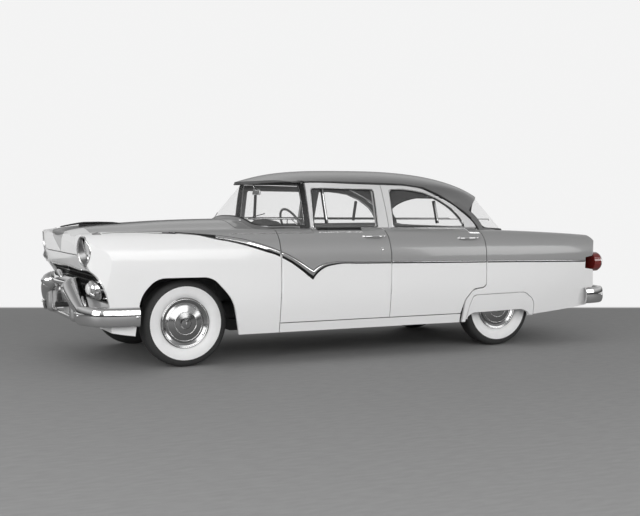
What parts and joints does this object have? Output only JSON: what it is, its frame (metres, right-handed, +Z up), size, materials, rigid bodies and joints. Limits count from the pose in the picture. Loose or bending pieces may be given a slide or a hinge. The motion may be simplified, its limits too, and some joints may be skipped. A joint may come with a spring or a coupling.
{
  "type": "family car",
  "caption": "Two-tone four-door sedan of the middle 1950s with chrome bumpers, whitewall tyres and rear wheel covers.",
  "frame": {"origin": "centre of the car's plan on the ground under the tyres", "axes": "+X rearward along the car, +Y to its right-hand side, +Z up"},
  "size_m": [5.042, 1.9298, 1.565],
  "materials": {
    "body_white": "gloss",
    "body_grey": "gloss",
    "roof_grey": "gloss",
    "chassis_black": "satin",
    "engine_grey": "matte",
    "bright": "polished",
    "glass": "clear",
    "lamp_glass": "clear",
    "lamp_red": "clear",
    "tyre": "matte",
    "cover": "polished",
    "steel": "satin",
    "seat_cloth": "matte",
    "plastic_grey": "gloss"
  },
  "bodies": {
    "car": {"body_side_left": "body_white", "body_side_right": "body_white", "cowl": "body_grey", "dashboard": "body_grey", "engine": "engine_grey", "exhaust": "steel", "fender_front_left": "body_white", "fender_front_right": "body_white", "fender_skirts": "body_white", "fixed_glass": "glass", "floor_pan": "chassis_black", "frame": "chassis_black", "front_bumper": "bright", "front_seat": "seat_cloth", "front_suspension": "chassis_black", "fuel_tank": "chassis_black", "grille": "bright", "headlamps": "lamp_glass", "nose_panel": "body_white", "radiator": "chassis_black", "rear_axle": "chassis_black", "rear_body": "body_white", "rear_bumper": "bright", "rear_seat": "seat_cloth", "roof": "roof_grey", "steering_column": "plastic_grey", "tail_lamps": "lamp_red"},
    "front_left_door": {"door_front_left": "body_white", "window_front_left": "glass"},
    "front_left_wheel": {"tyre_front_left": "tyre", "wheel_front_left": "cover"},
    "rear_left_door": {"door_rear_left": "body_white", "window_rear_left": "glass"},
    "rear_left_wheel": {"tyre_rear_left": "tyre", "wheel_rear_left": "cover"},
    "left_knuckle": {"knuckle_left": "steel"},
    "front_right_door": {"door_front_right": "body_white", "window_front_right": "glass"},
    "front_right_wheel": {"tyre_front_right": "tyre", "wheel_front_right": "cover"},
    "rear_right_door": {"door_rear_right": "body_white", "window_rear_right": "glass"},
    "rear_right_wheel": {"tyre_rear_right": "tyre", "wheel_rear_right": "cover"},
    "right_knuckle": {"knuckle_right": "steel"},
    "hood_lid": {"hood": "body_grey"},
    "boot": {"boot_lid": "body_grey"},
    "steering": {"steering_wheel": "plastic_grey"}
  },
  "joints": [
    {"name": "steering_turn", "type": "hinge", "parent": "car", "child": "steering", "pos_m": [-0.51634, -0.37, 1.03446], "axis": [0.891, 0, 0.454], "range_deg": [-720, 720]},
    {"name": "knuckle_left_steer", "type": "hinge", "parent": "car", "child": "left_knuckle", "pos_m": [-1.643, -0.6405, 0.343], "axis": [0, 0, 1], "range_deg": [-31, 31]},
    {"name": "wheel_front_left_spin", "type": "hinge", "parent": "left_knuckle", "child": "front_left_wheel", "pos_m": [-1.643, -0.7365, 0.343], "axis": [0, 1, 0], "continuous": true},
    {"name": "wheel_rear_left_spin", "type": "hinge", "parent": "car", "child": "rear_left_wheel", "pos_m": [1.291, -0.711, 0.343], "axis": [0, 1, 0], "continuous": true},
    {"name": "door_front_left_hinge", "type": "hinge", "parent": "car", "child": "front_left_door", "pos_m": [-0.87336, -0.944, 0.686], "axis": [0, 0, -1], "range_deg": [0, 65]},
    {"name": "door_rear_left_hinge", "type": "hinge", "parent": "car", "child": "rear_left_door", "pos_m": [0.12445, -0.944, 0.686], "axis": [0, 0, -1], "range_deg": [0, 65]},
    {"name": "knuckle_right_steer", "type": "hinge", "parent": "car", "child": "right_knuckle", "pos_m": [-1.643, 0.6405, 0.343], "axis": [0, 0, 1], "range_deg": [-31, 31]},
    {"name": "wheel_front_right_spin", "type": "hinge", "parent": "right_knuckle", "child": "front_right_wheel", "pos_m": [-1.643, 0.7365, 0.343], "axis": [0, 1, 0], "continuous": true},
    {"name": "wheel_rear_right_spin", "type": "hinge", "parent": "car", "child": "rear_right_wheel", "pos_m": [1.291, 0.711, 0.343], "axis": [0, 1, 0], "continuous": true},
    {"name": "door_front_right_hinge", "type": "hinge", "parent": "car", "child": "front_right_door", "pos_m": [-0.87336, 0.944, 0.686], "axis": [0, 0, 1], "range_deg": [0, 65]},
    {"name": "door_rear_right_hinge", "type": "hinge", "parent": "car", "child": "rear_right_door", "pos_m": [0.12445, 0.944, 0.686], "axis": [0, 0, 1], "range_deg": [0, 65]},
    {"name": "hood_hinge", "type": "hinge", "parent": "car", "child": "hood_lid", "pos_m": [-1.15035, 0, 1.12602], "axis": [0, 1, 0], "range_deg": [0, 50]},
    {"name": "boot_hinge", "type": "hinge", "parent": "car", "child": "boot", "pos_m": [1.72735, 0, 0.98282], "axis": [0, -1, 0], "range_deg": [0, 70]}
  ],
  "couplings": [
    {"joint": "knuckle_left_steer", "follows": "steering_turn", "ratio": 0.041667},
    {"joint": "knuckle_right_steer", "follows": "steering_turn", "ratio": 0.041667}
  ]
}
